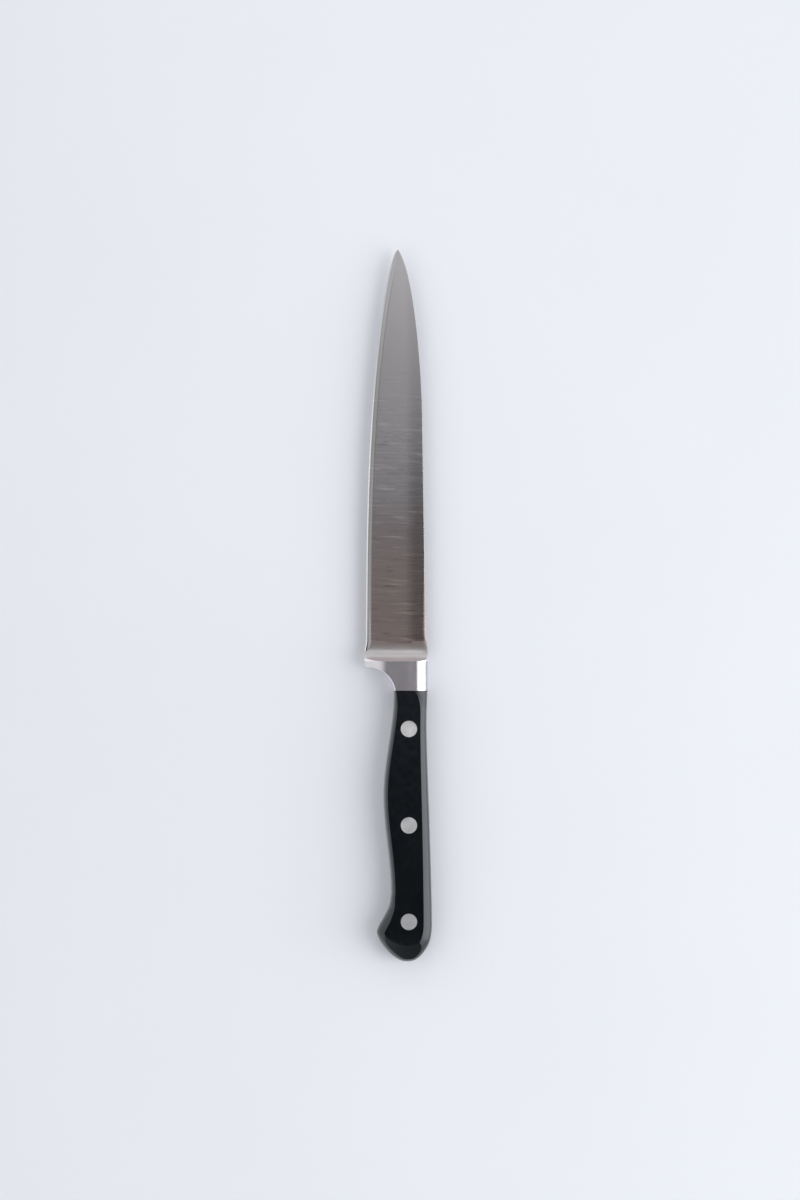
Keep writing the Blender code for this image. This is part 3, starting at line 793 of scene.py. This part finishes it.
def belly_edge():
    """Points (length, depth) up the hollow, round the chin and along the bevel's plunge."""
    edge = []
    for angle in np.linspace(math.asin(-FINGER_START / FINGER_RADIUS), math.pi / 2, 40):
        length = FINGER_START + FINGER_RADIUS * math.sin(angle)
        edge.append((length, GRIP_DEPTH + FINGER_RADIUS * (1 - math.cos(angle))))
    for angle in quarter(9)[1:]:
        length = CHIN_BOTTOM + CHIN_CORNER * (1 - math.cos(angle))
        edge.append((length, CHIN_DEPTH - CHIN_CORNER * (1 - math.sin(angle))))
    for length in np.linspace(edge[-1][0], FLAT_END, 7)[1:]:
        edge.append((length, CHIN_DEPTH))
    for share in np.linspace(0, 1, 26)[1:]:
        edge.append((mix(FLAT_END, HEEL - JOINT, share**2), CHIN_DEPTH))
    for angle in quarter(22)[1:]:
        length = PLUNGE_END - PLUNGE_RUN * math.cos(angle)
        edge.append((length, BACK - edge_at(JOINT + length) - PLUNGE_WIDTH * math.sin(angle)))
    for length in np.linspace(PLUNGE_END, COVE_END - JOINT, 8)[1:]:
        edge.append((length, BACK - edge_at(JOINT + length) - PLUNGE_WIDTH))
    return np.array(edge)


def thinning(length):
    """From 0 up to the chin to 1 along the cove."""
    return ease((length - THINS_AT) / THINS_OVER)


def inward_ways(edge):
    """How far and which way the rim reaches in from each point of the belly edge."""
    along = unit(np.gradient(edge, axis=0))
    inward = np.stack([along[:, 1], -along[:, 0]], axis=1)
    inward[edge[:, 0] > CHIN_BOTTOM + CHIN_CORNER - 0.05] = (0.0, -1.0)
    inward[0] = (0.0, -1.0)
    width = mix(BELLY_ROUND, CHIN_ROUND, ease((edge[:, 1] - GRIP_DEPTH) / FINGER_RADIUS))
    return inward * mix(width, COVE_ROUND, thinning(edge[:, 0]))[:, None]


bolster_edge = belly_edge()
print("belly edge:", len(bolster_edge), "points")

# %% [markdown]
# ### Rows over the bolster
# Each row climbs the belly's wall and rim, crosses the surface and goes down the back's rounding. It puts a
# point where the chin's slope meets the cove, so that edge comes out clean, and packs its points at the top
# of the rounding, where a reflection shows every corner. A remeshed Boolean could do neither.

# %% Rows of the bolster
RIM_POINTS, FACE_POINTS, BACK_FACE_POINTS, BACK_POINTS = 11, 15, 13, 25
MIDWAY = 12.0
RIM_HEIGHTS = (0.6, 0.08)
LEAST_TURN = math.radians(6)
LEAST_REACH = 0.22
POLISHED, COVED, PLUNGE_SHADOW = range(3)


def slope_meets_face(fallen, depth):
    """The depth where the chin's slope meets the cove, short of the rim."""
    return min(SLOPE_START + math.sqrt(SLOPE_RADIUS**2 - (SLOPE_RADIUS - fallen) ** 2), depth - 0.15)


def bolster_row(point, way):
    """One row of (length, depth, height) over the bolster, from the belly's wall to the back's."""
    length, depth = point + way
    top = surface(length, depth)
    wall = min(WALL_TOP, top - mix(*RIM_HEIGHTS, thinning(point[0])))
    row = [(*point, 0.0)]
    for angle in quarter(RIM_POINTS):
        row.append((*(point + way * (1 - math.cos(angle))), mix(wall, top, math.sin(angle))))
    middle = face_over(length, MIDWAY)
    meets = slope_meets_face(HALF_HANDLE - middle, depth)
    back = back_of_bolster(length)
    rise = min(max((middle - WALL_TOP) / (HALF_HANDLE - WALL_TOP), 0.0), 1.0)
    turn = max(math.asin(rise ** (BACK_POWER / 2)), LEAST_TURN)
    across, up = back_profile(turn)
    reach = max(BACK_ROUND * across, LEAST_REACH) if rise < 1 else BACK_ROUND
    to_cove = np.linspace(depth, meets, FACE_POINTS)[1:]
    to_back = np.linspace(meets, back + reach, BACK_FACE_POINTS)[1:]
    row += [(length, d, surface(length, d)) for d in (*to_cove, *to_back)]
    start = row[-1][2]
    foot = min(WALL_TOP, start - 0.2)
    for angle in turn * (1 - np.linspace(0, 1, BACK_POINTS)[1:] ** 1.5):
        out, height = back_profile(angle)
        row.append((length, back + reach * out / across, mix(foot, start, height / up)))
    row.append((length, back, 0.0))
    return row


def bolster_finish_at(ring, point):
    """Polish on the flat, satin in the cove, painted shadow where the bevel plunges."""
    length = bolster_edge[ring, 0]
    if length < FLAT_END - 0.01:
        return POLISHED
    in_plunge = HEEL - JOINT + 0.3 < length < PLUNGE_END - 0.2
    return PLUNGE_SHADOW if in_plunge and point < RIM_POINTS else COVED


def bolster_half(name, side):
    rings = []
    for point, way in zip(bolster_edge, inward_ways(bolster_edge)):
        row = bolster_row(point, way)
        rings.append([(BACK - d, JOINT + length, MIDDLE + side * height) for length, d, height in row])
    finishes = [bolster_finish, cove_finish, blank_finishes[SHADE_LINE_STRIP]]
    return loft(name, rings, finishes, finish_at=bolster_finish_at)


bolster_halves = [bolster_half("bolster_left", 1), bolster_half("bolster_right", -1)]
print("bolster halves:", [len(half.data.vertices) for half in bolster_halves], "points")

# %% [markdown]
# ## The handle scales
# The scales are slabs of black resin, rounded down to the sanded outline. Along the grip the rounding is a
# sloping facet with a crisp inner line, wide at the back and narrow at the belly. At the bolster and the
# butt it is simply round, and towards the butt the flat falls away in a gentle slope. No bevel modifier can
# vary like that, so the rounding is drawn as rings of the outline, each moved inwards and up.

# %% Where the rounding goes
BELLY_WIDTHS = (BELLY_ROUND, 1.95, 3.5)
BACK_WIDTHS = (BACK_ROUND, 2.6, 3.9)
BUTT_WIDTH = 5.8
SETTLES = 13.0
WAIST_TO_BUTT = 30.5
BUTT_MIDDLE = np.array([BACK - 9.0, BUTT + 8.5])
BUTT_TURN = 7.0
BACK_TURNS_AT = -0.5


def settled(line):
    """From 0 at the bolster to 1 where the rounding has found its own shape."""
    return 1 - (1 - np.clip((JOINT - line[:, 1]) / SETTLES, 0, 1)) ** 3


def facing_butt(ways):
    """From 0 along the sides to 1 at the butt's end."""
    return np.clip(unit(ways)[:, 1], 0, 1) ** 2


def rounding_ways(line):
    """For each point of the outline, the way from it to the flat's edge."""
    along = unit(np.gradient(line, axis=0))
    inward = np.stack([-along[:, 1], along[:, 0]], axis=1)
    turns_at = BUTT_MIDDLE[1] + np.where(on_belly, BUTT_TURN, BACK_TURNS_AT)
    turned_in = ease((turns_at - line[:, 1]) / BUTT_TURN)[:, None]
    inward = unit(mix(inward, unit(BUTT_MIDDLE - line), turned_in))
    inward[0], inward[-1] = (1, 0), (-1, 0)
    below = JOINT - line[:, 1]
    at_beak = ease((below - HANDLE_LENGTH + WAIST_TO_BUTT) / SETTLES)
    belly = mix(BELLY_WIDTHS[1], BELLY_WIDTHS[2], at_beak)
    back = mix(BACK_WIDTHS[1], BACK_WIDTHS[2], below / HANDLE_LENGTH)
    start = np.where(on_belly, BELLY_WIDTHS[0], BACK_WIDTHS[0])
    width = mix(start, np.where(on_belly, belly, back), settled(line))
    return inward * mix(width, BUTT_WIDTH, facing_butt(inward))[:, None]


outline_ways = rounding_ways(outline)
widths = np.linalg.norm(outline_ways, axis=1)
print("rounding", round(widths.min(), 2), "to", round(widths.max(), 2), "mm wide")

# %% [markdown]
# ### The shape of the rounding
# A plain quarter circle would show one soft glow. The real rim shows a flat grey band with a sharp inner
# line, so its profile here is a slope that turns down late. Two numbers do that, the slope's tilt and a
# power, and both ease back to a circle where the rim is round.

# %% Profile of the rounding and the falling flat
FACET_TILTS = (22.5, 17.0)
TILTS_OVER = 0.7
CIRCLE = 2.0
OUTER_POWERS = (2.0, 3.1)
FALL_RADIUS = 14.0
FALL_CENTRE = np.array([BACK - 9.0, BUTT + 7.6 + FALL_RADIUS])
FALL_SLOPE = 0.27
FALL_BEND = 0.002
START_STEPS = 400


def fall_height(points):
    """Height of the flat: level, then falling to the butt outside an arc."""
    past = np.linalg.norm(points - FALL_CENTRE, axis=-1) - FALL_RADIUS
    past = np.where(points[..., 1] < FALL_CENTRE[1], np.clip(past, 0, None), 0)
    return HALF_HANDLE - FALL_SLOPE * past - FALL_BEND * past**2


def rim_shape(line, ways):
    """The facet's slope and the power of its turn down, a circle's at both ends."""
    tilt = mix(*FACET_TILTS, ease((JOINT - line[:, 1]) / (TILTS_OVER * HANDLE_LENGTH)))
    start = np.where(on_belly, CIRCLE, BACK_POWER)
    power = mix(start, np.where(on_belly, *OUTER_POWERS), settled(line))
    at_butt = facing_butt(ways)
    return np.tan(np.radians(tilt)) * settled(line) * (1 - at_butt), mix(power, CIRCLE, at_butt)


def rim_place(line, ways, out):
    """Where the rounding is at a share of the way out to the wall, and how high."""
    slope, power = rim_shape(line, ways)
    facet = slope * np.linalg.norm(ways, axis=1)
    turn = 1 - np.clip(1 - out**power, 0, 1) ** (1 / power)
    height = HALF_HANDLE - facet * out - (HALF_HANDLE - WALL_TOP - facet) * turn
    return line + ways * (1 - out)[:, None], height


def rim_starts(line, ways):
    """The share of the way out at which the rounding comes out of the falling flat."""
    starts = np.zeros(len(line))
    for out in np.linspace(0, 0.99, START_STEPS):
        place, height = rim_place(line, ways, np.full(len(line), out))
        starts = np.where(height > fall_height(place) + 1e-6, out, starts)
    return starts


butt_fall = HALF_HANDLE - float(fall_height(outline[LINE_POINTS - 1]))
print("the flat falls by", round(butt_fall, 2), "mm at the butt")

# %% [markdown]
# ### Meshing a scale
# The rings start at the inner face, where a tiny chamfer makes the parting line to the tang. The flat is a
# grid that joins the points of the last ring in pairs, so both run on into each other without a seam.

# %% Mesh the scales
ROUND_RINGS = 20
ACROSS = 26
ACROSS_SHARES = (1 - np.cos(np.linspace(0, math.pi, ACROSS + 1))) / 2
PARTING = 0.05
GLUE_LINE = HALF_BLANK + 0.01
FLAT_PART, RIM_PART = range(2)


def scale_rings(line, ways):
    """Rings from the inner face, over the parting line and the wall, up to the flat."""
    power = rim_shape(line, ways)[1]
    first_turn = np.arcsin(rim_starts(line, ways) ** (power / 2))
    rings = [(line + unit(ways) * PARTING, np.full(len(line), GLUE_LINE)),
             (line, np.full(len(line), GLUE_LINE + PARTING))]
    for share in np.linspace(0, 1, ROUND_RINGS + 1):
        turn = mix(math.pi / 2, first_turn, share)
        rings.append(rim_place(line, ways, np.sin(turn) ** (2 / power)))
    return rings


def row_across(bm, first, last, side):
    """Points over the flat between two of its edge, or one point as often at its end."""
    if first is last:
        return [first] * (ACROSS + 1)
    start, end = np.array(first.co)[:2] / MM, np.array(last.co)[:2] / MM
    row = [first]
    for share in ACROSS_SHARES[1:-1]:
        plan = mix(start, end, share)
        row.append(bm.verts.new((*(plan * MM), (MIDDLE + side * float(fall_height(plan))) * MM)))
    return [*row, last]


def make_scale(name, side):
    bm = bmesh.new()
    loops = []
    for plan, height in scale_rings(outline, outline_ways):
        points = np.column_stack([plan, MIDDLE + side * height]) * MM
        loops.append([bm.verts.new(point) for point in points])
    bm.faces.new(loops[0])
    skin(bm, loops, lambda ring, point: RIM_PART)
    rim = loops[-1]
    rows = [row_across(bm, rim[i], rim[-1 - i], side) for i in range(LINE_POINTS)]
    for before, row in zip(rows, rows[1:]):
        for k in range(ACROSS):
            face_of(bm, [before[k], before[k + 1], row[k + 1], row[k]], FLAT_PART)
    return as_piece(bm, name, [resin_finish, rim_finish], sharp_angle=15)


scales = [make_scale("scale_left", 1), make_scale("scale_right", -1)]
print("scales:", [len(scale.data.vertices) for scale in scales], "points")

# %% [markdown]
# ## Rivet holes
# Each hole is stepped: narrow through the slab, wide for the head. It is cut with a turned cutter and a
# Boolean, as a stepped drill would, and its mouth is broken a little so that it catches a thin line of light.

# %% Drill the scales
HEAD_DEPTH = 2.2
SHANK_RADIUS = 2.5
SEAM = 0.02
DISC_RADIUS = HEAD_RADIUS - 0.13
HOLE_RADIUS = DISC_RADIUS + 0.06
MOUTH = 0.03
DRILL_PAST = 0.3


def drill(scale, side, place):
    seat = HALF_HANDLE - HEAD_DEPTH
    profile = [(SHANK_RADIUS + SEAM, 0.5), (SHANK_RADIUS + SEAM, seat), (HOLE_RADIUS, seat),
               (HOLE_RADIUS, HALF_HANDLE - MOUTH),
               (HOLE_RADIUS + DRILL_PAST, HALF_HANDLE - MOUTH + DRILL_PAST)]
    cutter = turned("stepped_drill", [(radius, side * height) for radius, height in profile], place, [])
    modifier = scale.modifiers.new("hole", "BOOLEAN")
    modifier.operation = "DIFFERENCE"
    modifier.object = cutter
    bpy.context.view_layer.update()
    drilled = bpy.data.meshes.new_from_object(scale.evaluated_get(bpy.context.evaluated_depsgraph_get()))
    scale.modifiers.clear()
    scale.data = drilled
    bpy.data.objects.remove(cutter, do_unlink=True)


for scale, side in zip(scales, (1, -1)):
    for place in RIVET_PLACES.values():
        drill(scale, side, place)
    scale.data.set_sharp_from_angle(angle=math.radians(15))
print("drilled scales:", [len(scale.data.polygons) for scale in scales], "faces")

# %% [markdown]
# ## The rivets
# Each rivet is a post pressed into a socket, with a broad head on either side, ground flush with the resin.
# A hair's easing and a thin dark seam round each disc make it look set in and not painted on. Both halves
# are turned shapes, drawn as a profile like work on a lathe.

# %% Turn the rivets
POST_RADIUS = 1.4
POST_SHORT = 0.1
SOCKET_TOP = 3.0
UNDER_HEAD = HALF_HANDLE - HEAD_DEPTH + SEAM
EASED = 0.05


def rivet_head():
    """The head from its flat under-side, round its eased edge, to its ground top."""
    profile = [(DISC_RADIUS, UNDER_HEAD)]
    for angle in quarter(6):
        radius = DISC_RADIUS - EASED * (1 - math.cos(angle))
        profile.append((radius, HALF_HANDLE - EASED * (1 - math.sin(angle))))
    return [*profile, (DISC_RADIUS - 2 * EASED, HALF_HANDLE), (DISC_RADIUS / 2, HALF_HANDLE)]


def make_rivet(rivet):
    bore = POST_RADIUS + SEAM
    post = [(POST_RADIUS, POST_SHORT - UNDER_HEAD), (POST_RADIUS, UNDER_HEAD), *rivet_head()]
    socket = [(bore, -UNDER_HEAD), (bore, SOCKET_TOP),
              (SHANK_RADIUS, SOCKET_TOP), (SHANK_RADIUS, -UNDER_HEAD)]
    socket += [(radius, -height) for radius, height in rivet_head()]
    pieces = []
    for half, profile in (("post", post), ("socket", socket)):
        pieces.append(turned(f"{rivet}_{half}_flush", profile, RIVET_PLACES[rivet], [rivet_finish]))
    return pieces


rivets = {rivet: make_rivet(rivet) for rivet in RIVETS}
print("rivets:", {rivet: [piece.name for piece in pieces] for rivet, pieces in rivets.items()})

# %% [markdown]
# ## Floor and light
# The knife lies on a plain pale floor. One long lamp on the right makes the white strip on the bolster's
# back and the grey rim of the scales, and a small one beyond the tip brightens the blade's point. The rest
# comes from a pale dome with a dark gap overhead, which the level steel and the flat resin mirror: that is
# why they look dark on such a bright floor.

# %% Floor
FLOOR_HALF = 6.0
FLOOR_TONES = ((0.855, 0.88, 0.945), (0.885, 0.91, 0.975))


def tint(tree, share, first, second):
    """A colour between two: a Mix node has them in sockets 6 and 7, and their share in 0."""
    sockets = {0: share, 6: (*first, 1.0), 7: (*second, 1.0)}
    return add(tree, "Mix", sockets, data_type="RGBA").outputs[2]


floor_tree, floor_shader = new_finish("pale_floor", 0.0, 0.75)
floor_tone = tint(floor_tree, noise(floor_tree, (9, 9, 9)), *FLOOR_TONES)
floor_tree.links.new(floor_tone, floor_shader.inputs["Base Color"])
bm = bmesh.new()
bmesh.ops.create_grid(bm, x_segments=2, y_segments=2, size=FLOOR_HALF)
floor = as_piece(bm, "floor", [bpy.data.materials["pale_floor"]], sharp_angle=30)
print("floor:", 2 * FLOOR_HALF, "m wide")

# %% Lamps


def soft_lamp(name, place, aim, size, power):
    lamp = bpy.data.objects.new(name, bpy.data.lights.new(name, "AREA"))
    lamp.data.shape = "RECTANGLE"
    lamp.data.size, lamp.data.size_y = size
    lamp.data.energy = power
    bpy.context.scene.collection.objects.link(lamp)
    lamp.location = place
    lamp.visible_camera = False
    direction = np.array(aim) - np.array(place)
    lamp.rotation_euler = Vector(direction).to_track_quat("-Z", "Y").to_euler()
    return lamp


soft_lamp("right_lamp", place=(1.23, -0.30, 0.86), aim=(0.0, -0.30, 0.0), size=(0.84, 2.1), power=12.9)
soft_lamp("tip_lamp", place=(0.0, 0.325, 0.40), aim=(0.0, 0.325, 0.0), size=(0.10, 0.25), power=0.11)

# %% [markdown]
# ### The dome
# The dome is the world's background. Its dark gap is a soft oval round the zenith, like the unlit ceiling
# of a studio between its lit walls. Emitting panels could do the same, but they would stand in the way of
# other views.

# %% Dome with a dark gap
DOME_STRENGTH = 0.90
GAP_STRENGTH = 0.085
GAP_ACROSS = (0.12, 0.085, 0.55)
GAP_ALONG = (-0.05, 0.10, 1.25)


def gap_share(tree, direction, centre, start, end):
    """From 1 in the ceiling's dark gap to 0 past its soft edge, along one axis."""
    off = add(tree, "Math", {0: minus(tree, direction, centre)}, operation="ABSOLUTE").outputs[0]
    ranges = {"Value": off, "From Min": start, "From Max": end}
    past = add(tree, "MapRange", ranges, interpolation_type="SMOOTHSTEP").outputs["Result"]
    return minus(tree, 1.0, past)


world = bpy.data.worlds.new("studio")
bpy.context.scene.world = world
world.use_nodes = True
sky = world.node_tree
sky.nodes["Background"].inputs["Color"].default_value = (1, 1, 1, 1)
direction = add(sky, "SeparateXYZ", {"Vector": add(sky, "TexCoord").outputs["Generated"]})
across = gap_share(sky, direction.outputs["X"], *GAP_ACROSS)
along = gap_share(sky, direction.outputs["Y"], *GAP_ALONG)
strength = spread(sky, times(sky, across, along), DOME_STRENGTH, GAP_STRENGTH, 0, 1)
sky.links.new(strength, sky.nodes["Background"].inputs["Strength"])
bpy.context.scene.view_settings.view_transform = "Standard"
print("dome strength", DOME_STRENGTH, "and", GAP_STRENGTH, "in its gap")

# %% [markdown]
# ## Hand the pieces over
# Every piece rides on the frame's one body and stands for the node that it dresses.

# %% Ride and replace
dressed = [
    (blade, "blade_and_tang", "blade_steel"),
    (bolster_halves[0], "left_bolster", "bolster_steel"),
    (bolster_halves[1], "right_bolster", "bolster_steel"),
    (scales[0], "left_scale", "handle_resin"),
    (scales[1], "right_scale", "handle_resin"),
]
for rivet, (post, socket) in rivets.items():
    dressed.append((post, f"{rivet}_rivet_post", "rivet_steel"))
    dressed.append((socket, f"{rivet}_rivet_socket", "rivet_steel"))
for piece, node, slot in dressed:
    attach(piece, "root")
    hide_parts(node)
print("dressed:", len(dressed), "nodes")
